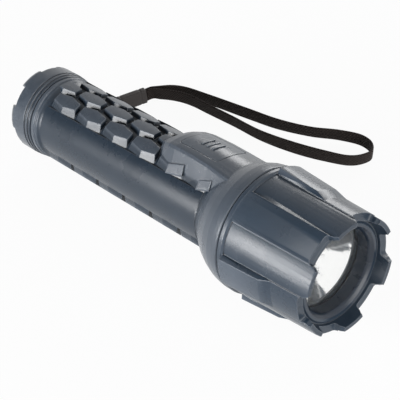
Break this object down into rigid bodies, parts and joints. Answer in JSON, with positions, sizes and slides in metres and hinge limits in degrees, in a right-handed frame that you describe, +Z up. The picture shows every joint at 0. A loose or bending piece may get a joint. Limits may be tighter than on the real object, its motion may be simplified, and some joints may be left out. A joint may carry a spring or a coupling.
{
  "type": "flashlight",
  "caption": "Battery flashlight with a hexagon-tile grip, a push switch on top, a notched screw-on head and tail cap and a flat wrist strap.",
  "frame": {"origin": "on the floor under the middle of the flashlight, with the strap left out", "axes": "+X from the tail cap to the head, +Z up from the floor, -Y to the viewer's side; the push switch leans 18.5 degrees to +Y"},
  "size_m": [0.2238, 0.1408, 0.0656],
  "materials": {
    "moulded_body": "satin moulded",
    "seal_rubber": "matt",
    "aluminium": "turned",
    "spring_steel": "drawn wire",
    "brass": "bright",
    "reflector_coating": "mirror",
    "lens_plastic": "clear",
    "cell_jacket": "wrapped",
    "circuit_board": "solder mask",
    "black_plastic": "moulded",
    "led_phosphor": "clear dome",
    "wire_red": "insulated wire",
    "strap_webbing": "woven"
  },
  "bodies": {
    "flashlight": {"body_housing": "moulded_body", "barrel_tube": "aluminium", "neck_ring": "aluminium", "heatsink": "aluminium", "battery_rear": "cell_jacket", "battery_front": "cell_jacket", "front_contact": "brass", "contact_carrier": "black_plastic", "switch_body": "black_plastic", "contact_lead": "wire_red", "switch_lead_near": "wire_red", "switch_lead_far": "wire_red", "switch_board": "circuit_board", "led_board": "circuit_board", "led_emitter": "led_phosphor", "tail_oring": "seal_rubber", "head_oring": "seal_rubber", "strap_band": "strap_webbing", "strap_sleeve": "strap_webbing", "strap_string": "strap_webbing"},
    "button": {"switch_button": "moulded_body", "switch_plunger": "black_plastic"},
    "head_carrier": {"head_thrust_washer": "black_plastic"},
    "head": {"head_shell": "moulded_body", "reflector": "reflector_coating", "lens": "lens_plastic", "lens_gasket": "seal_rubber", "reflector_ring": "aluminium"},
    "tail_carrier": {"tail_contact": "brass", "tail_spring": "spring_steel"},
    "tail": {"tail_cap": "moulded_body", "tail_thread_ring": "aluminium"}
  },
  "joints": [
    {"name": "switch_press", "type": "slide", "parent": "flashlight", "child": "button", "axis": [0.0515, -0.3173, -0.9469], "range_m": [0, 0.0012], "stiffness_N_per_m": 600, "springref_m": -0.001},
    {"name": "head_advance", "type": "slide", "parent": "flashlight", "child": "head_carrier", "axis": [0.9985, 0, 0.0543], "range_m": [0, 0.009]},
    {"name": "head_turn", "type": "hinge", "parent": "head_carrier", "child": "head", "pos_m": [-0.11049, 0, 0.02345], "axis": [0.9985, 0, 0.0543], "range_deg": [0, 1080]},
    {"name": "tail_advance", "type": "slide", "parent": "flashlight", "child": "tail_carrier", "axis": [-0.9985, 0, -0.0543], "range_m": [0, 0.006]},
    {"name": "tail_turn", "type": "hinge", "parent": "tail_carrier", "child": "tail", "pos_m": [-0.11049, 0, 0.02345], "axis": [-0.9985, 0, -0.0543], "range_deg": [0, 1080]}
  ],
  "couplings": [
    {"joint": "head_advance", "follows": "head_turn", "m_per_rad": 0.00047746},
    {"joint": "tail_advance", "follows": "tail_turn", "m_per_rad": 0.00031831}
  ]
}
